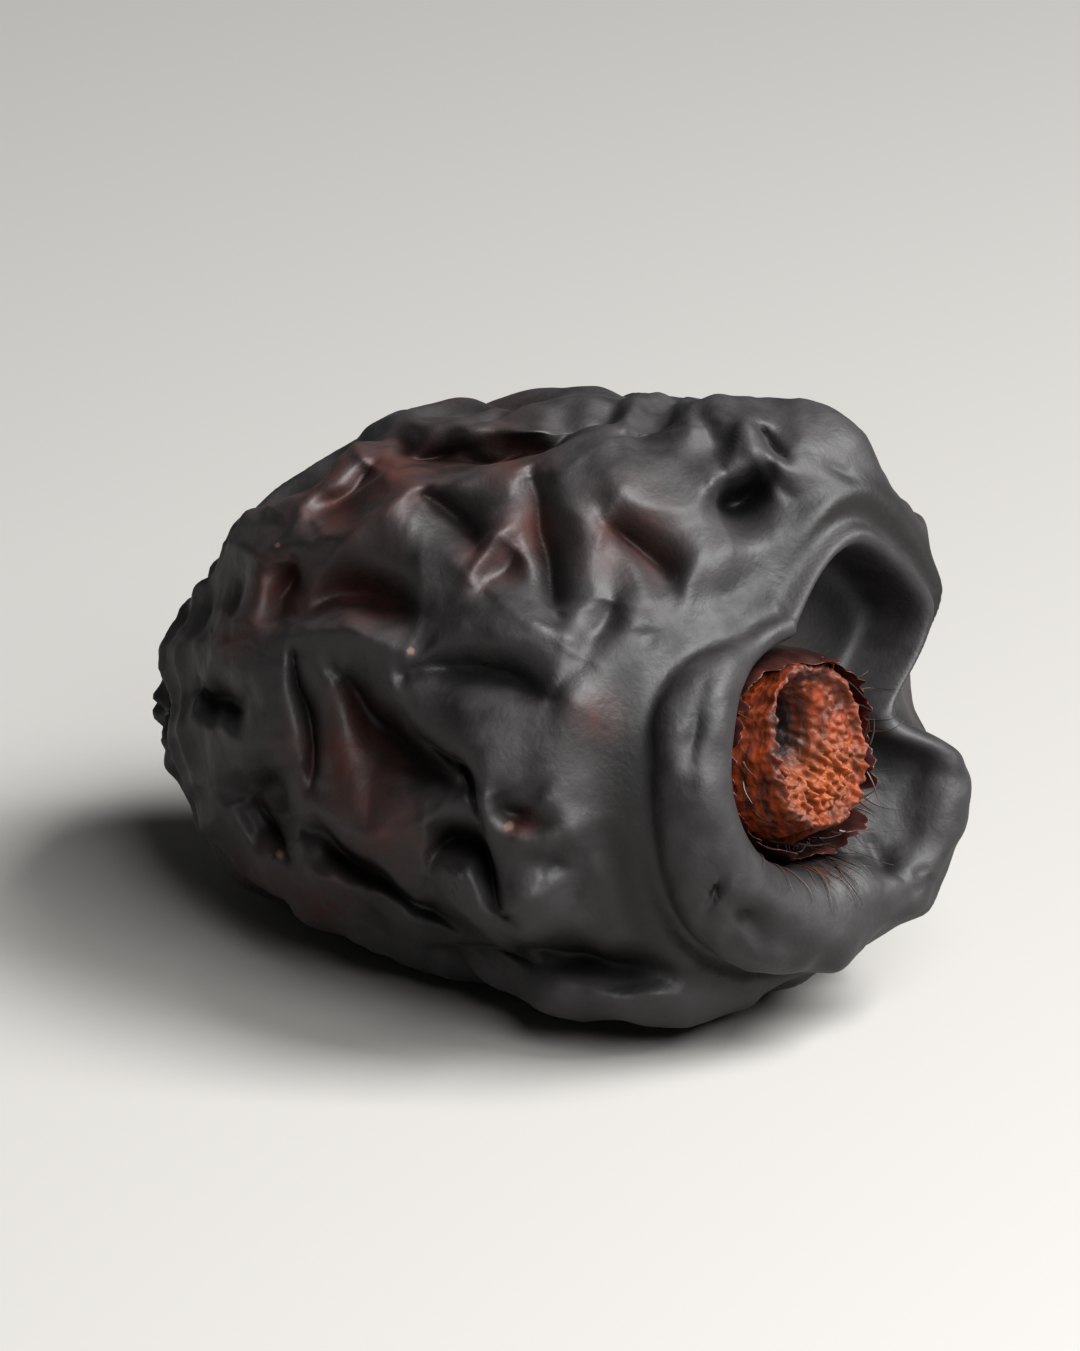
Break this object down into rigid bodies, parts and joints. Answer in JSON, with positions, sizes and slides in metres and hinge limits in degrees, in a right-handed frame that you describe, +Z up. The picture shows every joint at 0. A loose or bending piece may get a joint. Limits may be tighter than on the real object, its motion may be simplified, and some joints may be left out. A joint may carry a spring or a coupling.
{
  "type": "dried date fruit",
  "caption": "Dried ajwa date lying on its side: a short, blunt, black-brown body of deeply folded skin, with a collar of rolled skin round the fibrous remnant of its calyx.",
  "frame": {"origin": "middle of the underside of the bounding box, on the surface that the date rests on", "axes": "+X along the date from its tip to its stem end, +Z up, and -Y towards the side that the picture shows"},
  "size_m": [0.0314, 0.0246, 0.0208],
  "materials": {
    "skin": "black-brown, soft waxy sheen, finely creased",
    "fibre": "orange-brown dry fibre, matte"
  },
  "bodies": {
    "root": {"fruit": "skin", "calyx_remnant": "fibre"}
  },
  "joints": []
}
